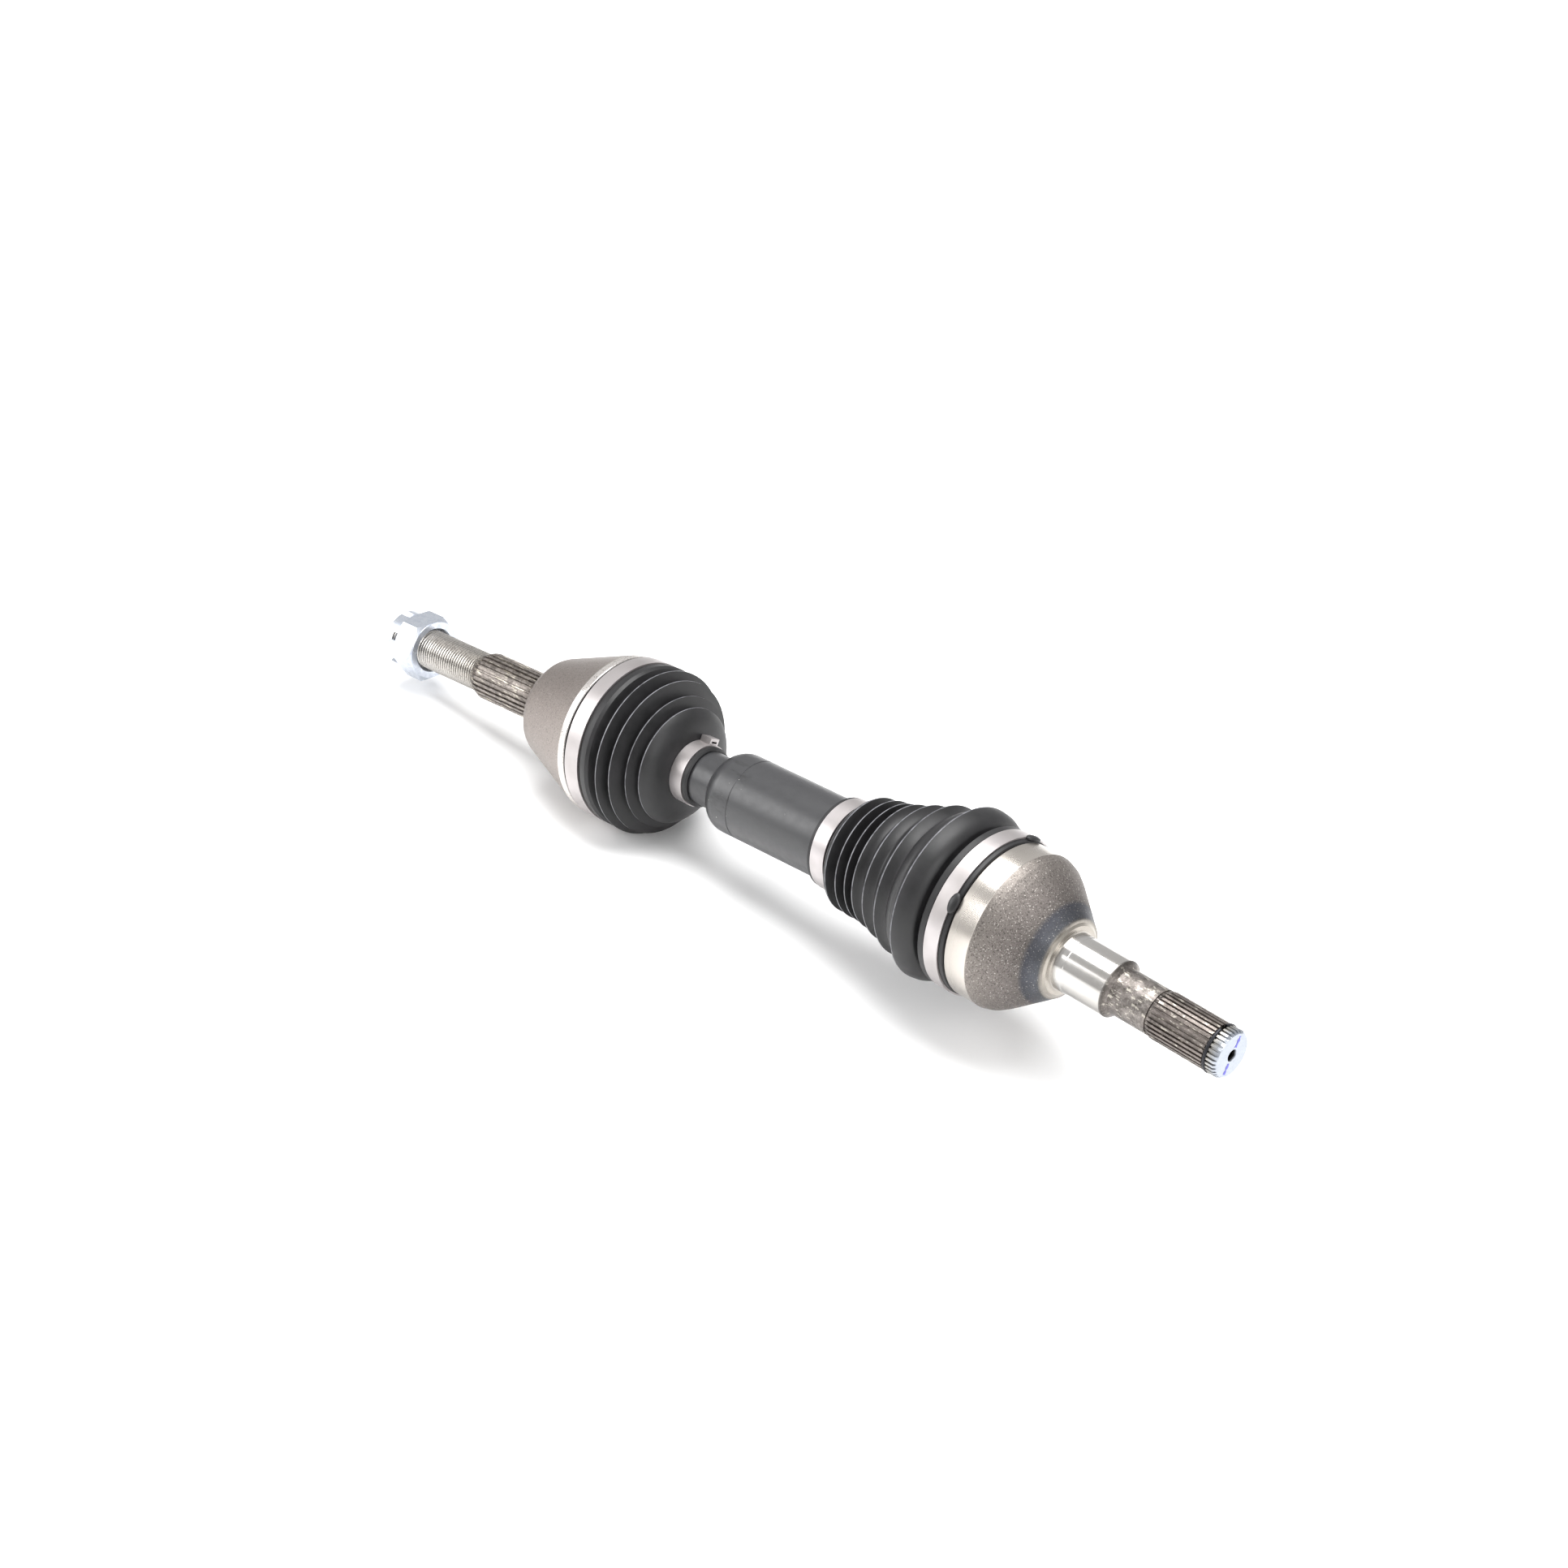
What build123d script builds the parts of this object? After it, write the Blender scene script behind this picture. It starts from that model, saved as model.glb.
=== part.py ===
from build123d import *
import os
from math import acos, asin, cos, degrees, pi, radians, sin, sqrt, tan

# A front half-shaft: a fixed ball joint at the wheel end, a plunging tripod joint at the gearbox end,
# and a bar between them whose middle is a friction-welded tube. All lengths are in millimetres.
#
# Row frame: the gearbox stub lies along +X, its free end last. The origin is on its axis, where the
# seal journal starts. +Z is up. The bar and the wheel stub droop a little below that axis at rest.
#
# Local frames, each with its own +X along a shaft and pointing towards the gearbox:
#   gearbox  the row frame          bar  at the tripod's centre
#   cage     at the ball joint's centre, halfway between bar and hub          hub  at the same centre

# ---------------------------------------------------------------- driving sizes
JOINT_SPAN = 309.0          # from the tripod's centre to the ball joint's centre
INNER_BEND = 5.0            # rest angle at the tripod joint, degrees
OUTER_BEND = 1.4            # rest angle at the ball joint, degrees
RUN_GAP = 0.3               # between soft parts and what they sit on
FIT_GAP = 0.05              # between parts that are pushed together
RING_WALL = 1.2             # thickness of the flat snap rings
SNAP_DEPTH = 0.9            # how deep they sit in their shafts

# gearbox stub and tripod housing
INNER_CENTRE_X = 47.0       # from the journal's start back to the tripod's centre
LAND_L = 6.2                # ground land between the neck's collar and the journal
LAND_R = 16.7
JOURNAL_R = 16.4
JOURNAL_L = 28.0
COLLAR_R = 21.6             # bronze-coloured fillet ring at the neck
NECK_R = 13.2
NECK_L = 25.5
GEAR_SPLINE_R = 13.75
GEAR_SPLINE_ROOT = 12.55
GEAR_SPLINE_TEETH = 32
GEAR_SPLINE_L = 38.5
GEAR_TIP_L = 6.5            # toothed end beyond the circlip groove
GEAR_GROOVE_W = 2.4
GEAR_GROOVE_R = 12.0
STUB_CLIP_WIRE = 1.0        # radius of the round wire
CENTRE_HOLE_R = 2.6
CENTRE_HOLE_DEPTH = 9.0
TULIP_STRIP_R = 45.3        # machined band beside the boot
TULIP_STRIP_L = 15.1
TULIP_SEAT_R = 41.8         # under the boot's large cuff
TULIP_LIP_X = 8.7           # the boot's lip, outboard of the tripod's centre
TULIP_MOUTH = 27.5          # mouth, outboard of the tripod's centre
TULIP_MOUTH_R = 39.6
TULIP_ROUND = 9.0           # from the strip's edge to the cone's start
TULIP_CONE_R = 41.0
TULIP_CONE_END = 38.6       # the cone's small end, inboard of the tripod's centre
TULIP_CONE_END_R = 23.2

# tripod
PLUNGE_IN = 8.0             # towards the gearbox, from rest
PLUNGE_OUT = 4.0            # towards the wheel
INNER_SWING = 12.0          # each of the two bend axes, degrees
ROLLER_PITCH_R = 22.0
ROLLER_R = 13.0
ROLLER_W = 11.0
TRUNNION_R = 6.0
NEEDLE_R = 1.0
NEEDLE_GAP = 0.02
NEEDLES = 21
SPIDER_HUB_R = 14.0
SPIDER_HALF = 10.0
TRACK_GAP = 1.2             # room for the roller's side shift as the joint bends
TULIP_WAIST_R = 18.5        # between the tracks
STOP_WIRE = 1.1
STOP_RING_R = 31.0
STOP_INSET = 1.2            # wall between the mouth and the stop ring's groove

# bar
SHAFT_SPLINE_R = 11.0
SHAFT_NECK_R = 12.5
SHAFT_SEAT_R = 15.8         # slim part that the outer boot grips
TUBE_R = 23.75
TUBE_BORE = 19.5
TUBE_OUT_X = 214.6          # tube's outer shoulder, from the tripod's centre
TUBE_OUT_ROUND = 11.0       # length of that shoulder's rounded rise
RELIEF_W = 0.8              # fine grooves at that shoulder's foot and beside its weld
RELIEF_DEPTH = 0.35
TUBE_IN_X = 104.0
TUBE_ROUND = 8.0
WELD_IN = 12.0              # from the end of a shoulder's rounding to the weld behind it

# ball joint and wheel stub
BALL_R = 7.94
BALL_PITCH_R = 26.0
BALLS = 6
BALL_TRACK_GAP = 1.2
RACE_R = 24.2
RACE_HALF = 11.0
CAGE_HALF = 13.0
CAGE_WALL = 6.5
SPHERE_GAP = 0.3
OUTER_SWING = 30.0          # each of the two bend axes, degrees
BELL_MOUTH = 21.0           # inboard of the ball joint's centre
BELL_SEAT_R = 44.2
BELL_LIP_X = 10.3
BELL_STRIP_R = 48.4
BELL_STRIP_L = 4.5
BELL_CONE_L = 48.0
BELL_CONE_END_R = 31.0
HUB_COLLAR_R = 16.4
HUB_SHOULDER_L = 13.5       # from the cone's end to the spline's start
HUB_SPLINE_R = 14.45
HUB_SPLINE_ROOT = 13.1
HUB_SPLINE_TEETH = 28
HUB_SPLINE_L = 49.5
HUB_CHAMFER_L = 6.0
THREAD_R = 12.0
THREAD_PITCH = 2.0
THREAD_DEPTH = 1.1
THREAD_TURNS = 37
NUT_FLATS = 36.0
NUT_HEX_L = 16.5
NUT_CROWN_L = 9.5
NUT_CROWN_R = 17.0
NUT_SLOT_W = 5.0
NUT_GAP = 0.06              # over the thread's crest

# boots and clamps: places are distances from the joint's centre towards the bar
BOOT_WALL = 2.6
CLAMP_WALL = 1.1
EAR_H = 3.4
EAR_ANGLE = -42             # the ears face down and back
TAIL_ANGLE = 62             # the outer small clamp's ear faces up
OUTER_LARGE_CLAMP = (12.3, 22.6)
OUTER_SMALL_CLAMP = (66.4, 75.6)
OUTER_BOOT_END = 79.0
OUTER_CUFF = 3.1            # rubber between the bell and its clamp
OUTER_NECK_CUFF = 1.1
INNER_LARGE_CLAMP = (11.9, 21.5)
INNER_SMALL_CLAMP = (114.2, 124.0)
INNER_BOOT_END = 127.0
INNER_CUFF = 3.5
INNER_NECK_CUFF = 1.45
# crests of the folds, as (distance from the joint's centre, radius), and the depth of the fold after each
OUTER_FOLDS = [(27.0, 48.9, 5.0), (38.0, 49.4, 5.5), (45.6, 45.8, 5.5), (52.4, 39.8, 4.5), (58.3, 35.2, 3.5)]
INNER_FOLDS = [(29.5, 50.3, 1.5), (41.5, 50.8, 4.5), (60.6, 44.2, 3.5), (71.2, 39.8, 3.0), (81.1, 36.4, 4.5),
               (89.1, 34.9, 5.0), (97.1, 34.2, 5.0), (105.5, 33.5, 0.0)]

# ---------------------------------------------------------------- worked-out sizes
NUT_L = NUT_HEX_L + NUT_CROWN_L
THREAD_L = THREAD_PITCH * THREAD_TURNS
CONE_START = BELL_LIP_X - BELL_STRIP_L
SPLINE_START = CONE_START - BELL_CONE_L - HUB_SHOULDER_L
THREAD_START = SPLINE_START - HUB_SPLINE_L - HUB_CHAMFER_L
THREAD_END = THREAD_START - THREAD_L
NUT_FACE = THREAD_END + NUT_L + 1.0
CAGE_INNER_R = RACE_R + SPHERE_GAP
CAGE_OUTER_R = CAGE_INNER_R + CAGE_WALL
BELL_BORE_R = CAGE_OUTER_R + SPHERE_GAP
ROLLER_BORE = TRUNNION_R + 2 * NEEDLE_R + 2 * NEEDLE_GAP
TRUNNION_END = ROLLER_PITCH_R + ROLLER_W / 2 + RING_WALL + 1.2
STUB_END = JOURNAL_L + NECK_L + GEAR_SPLINE_L + GEAR_GROOVE_W + GEAR_TIP_L
GROOVE_X = STUB_END - GEAR_TIP_L - GEAR_GROOVE_W
SHAFT_END = SPIDER_HALF + RING_WALL + 2.5          # bar beyond the tripod's centre
RACE_SHAFT_END = RACE_HALF + RING_WALL + 2.5       # bar beyond the ball joint's centre

GEARBOX = Location((0, 0, 0))
BAR = Location((-INNER_CENTRE_X, 0, 0)) * Rotation(0, -INNER_BEND, 0)
BALL_CENTRE = BAR * Location((-JOINT_SPAN, 0, 0))
CAGE = BALL_CENTRE * Rotation(0, -OUTER_BEND / 2, 0)
HUB = BALL_CENTRE * Rotation(0, -OUTER_BEND, 0)


# ---------------------------------------------------------------- general helpers
def turned(points):
    """A solid of revolution about X from a closed outline of (x, radius) points."""
    return revolve(make_face(Polyline(*points, close=True)), Axis.X)


def ring(x0, x1, r_in, r_out):
    """A plain ring about X."""
    return turned([(x0, r_in), (x1, r_in), (x1, r_out), (x0, r_out)])


def arc_points(centre, radius, start, end, steps):
    """Points on a circle in the (x, radius) plane, angles in degrees from +x."""
    angles = [start + (end - start) * i / steps for i in range(steps + 1)]
    return [(centre[0] + radius * cos(radians(a)), centre[1] + radius * sin(radians(a))) for a in angles]


def rim_arc(radius, start, end):
    """Part of a circle about the origin in the (x, radius) plane, angles in degrees from +x."""
    a, m, b = (arc_points((0, 0), radius, angle, angle, 1)[0] for angle in (start, (start + end) / 2, end))
    return ThreePointArc(a, m, b)


def spoke(angle):
    """A frame turned about X, so that its +Y points outwards at the given angle from +Y."""
    return Rotation(angle, 0, 0)


def splined(x0, length, tip_r, root_r, teeth):
    """A splined length of shaft along +X, with straight-sided teeth and round lands."""
    pitch = 2 * pi / teeth
    half_root = root_r * pitch * 0.17
    half_tip = tip_r * pitch * 0.30
    groove = Polyline((root_r, -half_root), (tip_r * 1.05, -half_tip), (tip_r * 1.05, half_tip),
                      (root_r, half_root), close=True)
    section = Circle(tip_r) - PolarLocations(0, teeth) * make_face(groove)
    return Location((x0, 0, 0)) * Rotation(0, 90, 0) * extrude(section, length)


def snap_groove(x0, shaft_r):
    """The space to cut from a shaft for a flat snap ring that starts one gap beyond x0."""
    return ring(x0, x0 + RING_WALL + 2 * FIT_GAP, shaft_r - SNAP_DEPTH, shaft_r + 1)


def flat_snap_ring(x0, shaft_r, height):
    """An external flat snap ring with its gap at the top."""
    body = ring(x0, x0 + RING_WALL, shaft_r - SNAP_DEPTH + FIT_GAP, shaft_r + height)
    gap = Location((x0 + RING_WALL / 2, 0, shaft_r)) * Box(2 * RING_WALL, 5.0, 3 * height)
    return body - gap


def wire_ring(x, major_r, wire_r, gap_w):
    """A round-wire ring about X with a gap at the top."""
    body = Location((x, 0, 0)) * Rotation(0, 90, 0) * Torus(major_r, wire_r)
    return body - Location((x, 0, major_r)) * Box(4 * wire_r, gap_w, 6 * wire_r)


# ---------------------------------------------------------------- gearbox side
def tulip_outline():
    """Outside of the tripod housing and its stub, from the mouth to the end of the neck."""
    c = -INNER_CENTRE_X
    strip_end = c - TULIP_LIP_X + TULIP_STRIP_L
    cone_start = strip_end + TULIP_ROUND
    cone_end = c + TULIP_CONE_END
    return [
        (c - TULIP_MOUTH, 0), (c - TULIP_MOUTH, TULIP_MOUTH_R - 1.5), (c - TULIP_MOUTH + 1.5, TULIP_MOUTH_R),
        (c - INNER_LARGE_CLAMP[1] - 2.0, TULIP_MOUTH_R), (c - INNER_LARGE_CLAMP[1] - 1.2, TULIP_SEAT_R),
        (c - TULIP_LIP_X, TULIP_SEAT_R), (c - TULIP_LIP_X, TULIP_STRIP_R - 0.8),
        (c - TULIP_LIP_X + 0.8, TULIP_STRIP_R), (strip_end, TULIP_STRIP_R),
        (strip_end + TULIP_ROUND * 0.5, TULIP_STRIP_R - (TULIP_STRIP_R - TULIP_CONE_R) * 0.33),
        (cone_start, TULIP_CONE_R), (cone_end, TULIP_CONE_END_R), (cone_end + 0.4, COLLAR_R),
        (-LAND_L - 0.9, COLLAR_R - 1.4), (-LAND_L - 0.5, LAND_R + 1.2), (-LAND_L, LAND_R),
        (-0.3, LAND_R), (0, JOURNAL_R),
        (JOURNAL_L - 1.6, JOURNAL_R), (JOURNAL_L, JOURNAL_R - 1.6), (JOURNAL_L + 1.2, NECK_R),
        (JOURNAL_L + NECK_L, NECK_R), (JOURNAL_L + NECK_L, 0),
    ]


def tripod_track(angle):
    """One roller track: a round channel along X, closed by a ball end inboard of the furthest roller."""
    c = -INNER_CENTRE_X
    track_r = ROLLER_R + TRACK_GAP
    swing = degrees(acos(cos(radians(INNER_SWING)) ** 2))
    reach = PLUNGE_IN + ROLLER_PITCH_R * sin(radians(swing))
    length = TULIP_MOUTH + 5 + reach
    channel = Location((c + reach - length / 2, 0, 0)) * Rotation(0, 90, 0) * Cylinder(track_r, length)
    end = Location((c + reach, 0, 0)) * Sphere(track_r)
    return spoke(angle) * Location((0, ROLLER_PITCH_R, 0)) * (channel + end)


def tulip_cavity():
    """Space inside the tripod housing: three tracks, a round middle and a flared mouth."""
    c = -INNER_CENTRE_X
    flare_r = TULIP_WAIST_R + 8.5
    deep = SHAFT_END + PLUNGE_IN + 4.0
    middle = turned([
        (c - TULIP_MOUTH - 1, 0), (c - TULIP_MOUTH - 1, flare_r), (c - TULIP_MOUTH, flare_r),
        (c - TULIP_MOUTH + 17, TULIP_WAIST_R), (c + deep - 5, TULIP_WAIST_R),
        (c + deep, TULIP_WAIST_R - 5), (c + deep + 2, 0),
    ])
    groove_x = c - TULIP_MOUTH + STOP_INSET
    groove_r = STOP_RING_R + STOP_WIRE + FIT_GAP
    groove = ring(groove_x, groove_x + 2 * (STOP_WIRE + FIT_GAP), TULIP_WAIST_R, groove_r)
    space = middle + groove
    for i in range(3):
        space += tripod_track(120 * i)
    return space


def inner_housing():
    body = turned(tulip_outline()) - tulip_cavity()
    spline_x = JOURNAL_L + NECK_L
    teeth = splined(spline_x, GEAR_SPLINE_L + GEAR_GROOVE_W + GEAR_TIP_L, GEAR_SPLINE_R, GEAR_SPLINE_ROOT,
                    GEAR_SPLINE_TEETH)
    envelope = turned([
        (spline_x, 0), (spline_x, NECK_R - 0.7), (spline_x + 3.0, GEAR_SPLINE_R), (GROOVE_X, GEAR_SPLINE_R),
        (GROOVE_X, GEAR_GROOVE_R), (GROOVE_X + GEAR_GROOVE_W, GEAR_GROOVE_R),
        (GROOVE_X + GEAR_GROOVE_W, GEAR_SPLINE_R), (STUB_END - 1.6, GEAR_SPLINE_R),
        (STUB_END, GEAR_SPLINE_R - 1.3), (STUB_END, 0),
    ])
    stub = teeth & envelope
    depth = CENTRE_HOLE_DEPTH
    hole = turned([
        (STUB_END + 1, 0), (STUB_END + 1, CENTRE_HOLE_R + 1.4), (STUB_END, CENTRE_HOLE_R + 0.9),
        (STUB_END - 1.6, CENTRE_HOLE_R), (STUB_END - depth, CENTRE_HOLE_R), (STUB_END - depth - 1.2, 0),
    ])
    return GEARBOX * (body + stub - hole)


def stub_circlip():
    clip_r = GEAR_SPLINE_R - STUB_CLIP_WIRE + 0.45
    return GEARBOX * wire_ring(GROOVE_X + GEAR_GROOVE_W / 2, clip_r, STUB_CLIP_WIRE, 5.0)


def tripod_stop_ring():
    x = -INNER_CENTRE_X - TULIP_MOUTH + STOP_INSET + STOP_WIRE + FIT_GAP
    return GEARBOX * wire_ring(x, STOP_RING_R, STOP_WIRE, 8.0)


# ---------------------------------------------------------------- tripod
def tripod_spider():
    hub = ring(-SPIDER_HALF, SPIDER_HALF, SHAFT_SPLINE_R + FIT_GAP, SPIDER_HUB_R)
    trunnion = Location((0, TRUNNION_END / 2 + SPIDER_HUB_R / 2 - 1, 0)) * Rotation(90, 0, 0) * Cylinder(
        TRUNNION_R, TRUNNION_END - SPIDER_HUB_R + 2)
    groove_y = ROLLER_PITCH_R + ROLLER_W / 2 + FIT_GAP
    groove = Rotation(0, 0, 90) * snap_groove(groove_y, TRUNNION_R)
    for i in range(3):
        hub += spoke(120 * i) * (trunnion - groove)
    bore = Rotation(0, 90, 0) * Cylinder(SHAFT_SPLINE_R + FIT_GAP, 3 * SPIDER_HALF)
    return BAR * (hub - bore)


def tripod_roller(i):
    """A barrel roller whose crown is part of a ball, with a plain bore for the needles."""
    crown = Sphere(ROLLER_R) & Rotation(90, 0, 0) * Cylinder(ROLLER_R + 1, ROLLER_W)
    roller = crown - Rotation(90, 0, 0) * Cylinder(ROLLER_BORE, 2 * ROLLER_W)
    return BAR * spoke(120 * i) * Location((0, ROLLER_PITCH_R, 0)) * roller


def needle_rollers(i):
    """The ring of loose needles between a trunnion and its roller."""
    pitch_r = TRUNNION_R + NEEDLE_GAP + NEEDLE_R
    needle = Cylinder(NEEDLE_R, ROLLER_W - 1.0)
    needles = [loc * needle for loc in PolarLocations(pitch_r, NEEDLES)]
    placed = BAR * spoke(120 * i) * Location((0, ROLLER_PITCH_R, 0)) * Rotation(90, 0, 0)
    return Compound(children=[placed * n for n in needles])


def trunnion_snap_rings():
    """Three flat rings that keep the rollers on the trunnions."""
    y = ROLLER_PITCH_R + ROLLER_W / 2 + 2 * FIT_GAP
    flat = Rotation(0, 0, 90) * flat_snap_ring(y, TRUNNION_R, 1.6)
    return Compound(children=[BAR * spoke(120 * i) * flat for i in range(3)])


def spider_snap_ring():
    return BAR * flat_snap_ring(SPIDER_HALF + FIT_GAP, SHAFT_SPLINE_R, 2.4)


# ---------------------------------------------------------------- bar
def shaft_inner_end():
    weld = -(TUBE_IN_X + WELD_IN)
    shoulder = -TUBE_IN_X
    round_end = arc_points((shoulder - TUBE_ROUND, TUBE_R - TUBE_ROUND), TUBE_ROUND, 90, 15, 5)
    body = turned([
        (weld, 0), (weld, TUBE_R)] + round_end + [
        (shoulder + 8, SHAFT_NECK_R + 1.5), (shoulder + 14, SHAFT_NECK_R),
        (-SPIDER_HALF - 1.5, SHAFT_NECK_R),
        (-SPIDER_HALF - FIT_GAP, SHAFT_NECK_R - 1), (-SPIDER_HALF - FIT_GAP, SHAFT_SPLINE_R),
        (SHAFT_END - 1, SHAFT_SPLINE_R), (SHAFT_END, SHAFT_SPLINE_R - 1), (SHAFT_END, 0),
    ])
    return BAR * (body - snap_groove(SPIDER_HALF, SHAFT_SPLINE_R))


def shaft_tube():
    x0, x1 = -(TUBE_OUT_X - TUBE_OUT_ROUND - WELD_IN), -(TUBE_IN_X + WELD_IN)
    return BAR * ring(x0, x1, TUBE_BORE, TUBE_R)


def shaft_outer_end():
    c = -JOINT_SPAN
    weld = -(TUBE_OUT_X - TUBE_OUT_ROUND - WELD_IN)
    shoulder = -TUBE_OUT_X
    rise = TUBE_R - SHAFT_SEAT_R
    shares = [i / 8 for i in range(8, 0, -1)]
    round_end = [
        (shoulder + TUBE_OUT_ROUND * t, SHAFT_SEAT_R + rise * sin(t * pi / 2) ** 0.6) for t in shares
    ]
    body = turned([
        (weld, 0), (weld, TUBE_R - RELIEF_DEPTH), (weld - RELIEF_W, TUBE_R - RELIEF_DEPTH),
        (weld - RELIEF_W - 0.3, TUBE_R)] + round_end + [
        (shoulder, SHAFT_SEAT_R - RELIEF_DEPTH), (shoulder - RELIEF_W, SHAFT_SEAT_R - RELIEF_DEPTH),
        (shoulder - RELIEF_W - 0.3, SHAFT_SEAT_R), (c + 57, SHAFT_SEAT_R), (c + 48, SHAFT_NECK_R),
        (c + RACE_HALF + 1.5, SHAFT_NECK_R), (c + RACE_HALF + FIT_GAP, SHAFT_NECK_R - 1),
        (c + RACE_HALF + FIT_GAP, SHAFT_SPLINE_R), (c - RACE_SHAFT_END + 1, SHAFT_SPLINE_R),
        (c - RACE_SHAFT_END, SHAFT_SPLINE_R - 1), (c - RACE_SHAFT_END, 0),
    ])
    return BAR * (body - snap_groove(c - RACE_HALF - RING_WALL - 2 * FIT_GAP, SHAFT_SPLINE_R))


# ---------------------------------------------------------------- ball joint
def ball_track(minor_r, back, front):
    """One ball's groove, bent about the joint's centre from `back` to `front`, with a ball end behind."""
    bar = Location((0, BALL_PITCH_R, 0)) * Rotation(0, 90, 0) * Circle(minor_r)
    bent = revolve(Rotation(0, 0, -front) * bar, Axis.Z, front + back)
    end = Rotation(0, 0, back) * Location((0, BALL_PITCH_R, 0)) * Sphere(minor_r)
    return bent + end


def full_lock(swing):
    """The bend, in radians, when both axes are at their end. Each half of the joint takes half of each."""
    return 2 * acos(cos(radians(swing / 2)) ** 2)


def cut_ball_tracks(body, minor_r, back, front):
    for i in range(BALLS):
        body -= spoke(360 / BALLS * i) * ball_track(minor_r, back, front)
    return body


def outer_inner_race():
    edge = degrees(acos(RACE_HALF / RACE_R))
    crown = rim_arc(RACE_R, 180 - edge, edge)
    bore_r = SHAFT_SPLINE_R + FIT_GAP
    sides = Polyline(crown @ 1, (RACE_HALF, bore_r), (-RACE_HALF, bore_r), crown @ 0)
    race = revolve(make_face(crown + sides), Axis.X)
    return BALL_CENTRE * cut_ball_tracks(race, BALL_R + BALL_TRACK_GAP, 42, 42)


def race_snap_ring():
    return BALL_CENTRE * flat_snap_ring(-RACE_HALF - RING_WALL - FIT_GAP, SHAFT_SPLINE_R, 2.4)


def outer_cage():
    out_edge = degrees(acos(CAGE_HALF / CAGE_OUTER_R))
    in_edge = degrees(acos(CAGE_HALF / CAGE_INNER_R))
    crown = rim_arc(CAGE_OUTER_R, 180 - out_edge, out_edge)
    bore = rim_arc(CAGE_INNER_R, in_edge, 180 - in_edge)
    cage = revolve(make_face(crown + Line(crown @ 1, bore @ 0) + bore + Line(bore @ 1, crown @ 0)), Axis.X)
    window = Box(2 * (BALL_R + FIT_GAP), 3 * CAGE_WALL, 2 * (BALL_R + BALL_TRACK_GAP))
    for i in range(BALLS):
        cage -= spoke(360 / BALLS * i) * Location((0, CAGE_INNER_R + CAGE_WALL / 2, 0)) * window
    return CAGE * cage


def outer_ball(i):
    return CAGE * spoke(360 / BALLS * i) * Location((0, BALL_PITCH_R, 0)) * Sphere(BALL_R)


def bell_outline():
    cone_end = CONE_START - BELL_CONE_L
    seat_end = OUTER_LARGE_CLAMP[1]
    return [
        (BELL_MOUTH, 0), (BELL_MOUTH, BELL_SEAT_R - 2.5), (BELL_MOUTH - 1, BELL_SEAT_R - 1.5),
        (seat_end - 3.5, BELL_SEAT_R - 1.5), (seat_end - 4.5, BELL_SEAT_R), (BELL_LIP_X, BELL_SEAT_R),
        (BELL_LIP_X, BELL_STRIP_R - 0.6), (BELL_LIP_X - 0.6, BELL_STRIP_R), (CONE_START, BELL_STRIP_R),
        (cone_end, BELL_CONE_END_R), (cone_end - 2.2, BELL_CONE_END_R - 1.2),
        (cone_end - 4.4, BELL_CONE_END_R - 3.2), (cone_end - 6.2, BELL_CONE_END_R - 6.4),
        (cone_end - 7.4, BELL_CONE_END_R - 10.4), (cone_end - 8.2, HUB_COLLAR_R + 1.0),
        (cone_end - 9.4, HUB_COLLAR_R), (SPLINE_START, HUB_COLLAR_R - 0.4), (SPLINE_START, 0),
    ]


def bell_cavity():
    """The ball-shaped bore and a mouth flared to clear the bar at full lock."""
    lock = full_lock(OUTER_SWING)
    clear = SHAFT_NECK_R + 1.4
    meet = degrees(lock + asin(clear / BELL_BORE_R))
    end = BELL_MOUTH + 1
    bore = rim_arc(BELL_BORE_R, 180, meet)
    mouth = Polyline(bore @ 1, (end, (clear + end * sin(lock)) / cos(lock)), (end, 0), (-BELL_BORE_R, 0))
    return revolve(make_face(bore + mouth), Axis.X)


def thread_outline():
    """Outline of the threaded end: one ring-shaped ridge for each turn of the thread."""
    root_r = THREAD_R - THREAD_DEPTH
    points = [(THREAD_START + 1, 0), (THREAD_START + 1, root_r)]
    for i in range(THREAD_TURNS):
        x = THREAD_START - THREAD_PITCH * i
        points += [(x - 0.12 * THREAD_PITCH, root_r), (x - 0.44 * THREAD_PITCH, THREAD_R),
                   (x - 0.56 * THREAD_PITCH, THREAD_R), (x - 0.88 * THREAD_PITCH, root_r)]
    return points + [(THREAD_END, root_r), (THREAD_END, 0)]


def outer_housing():
    lock = degrees(full_lock(OUTER_SWING))
    bell = cut_ball_tracks(turned(bell_outline()) - bell_cavity(), BALL_R + BALL_TRACK_GAP, lock / 2 + 1, 42)
    teeth = Rotation(0, 180, 0) * splined(-SPLINE_START, HUB_SPLINE_L + HUB_CHAMFER_L, HUB_SPLINE_R,
                                          HUB_SPLINE_ROOT, HUB_SPLINE_TEETH)
    spline_end = SPLINE_START - HUB_SPLINE_L
    chamfer_r = THREAD_R + 0.3
    envelope = turned([
        (SPLINE_START + 1, 0), (SPLINE_START + 1, HUB_SPLINE_R), (spline_end, HUB_SPLINE_R),
        (THREAD_START, chamfer_r), (THREAD_START, 0),
    ])
    return HUB * (bell + (teeth & envelope) + turned(thread_outline()))


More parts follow.
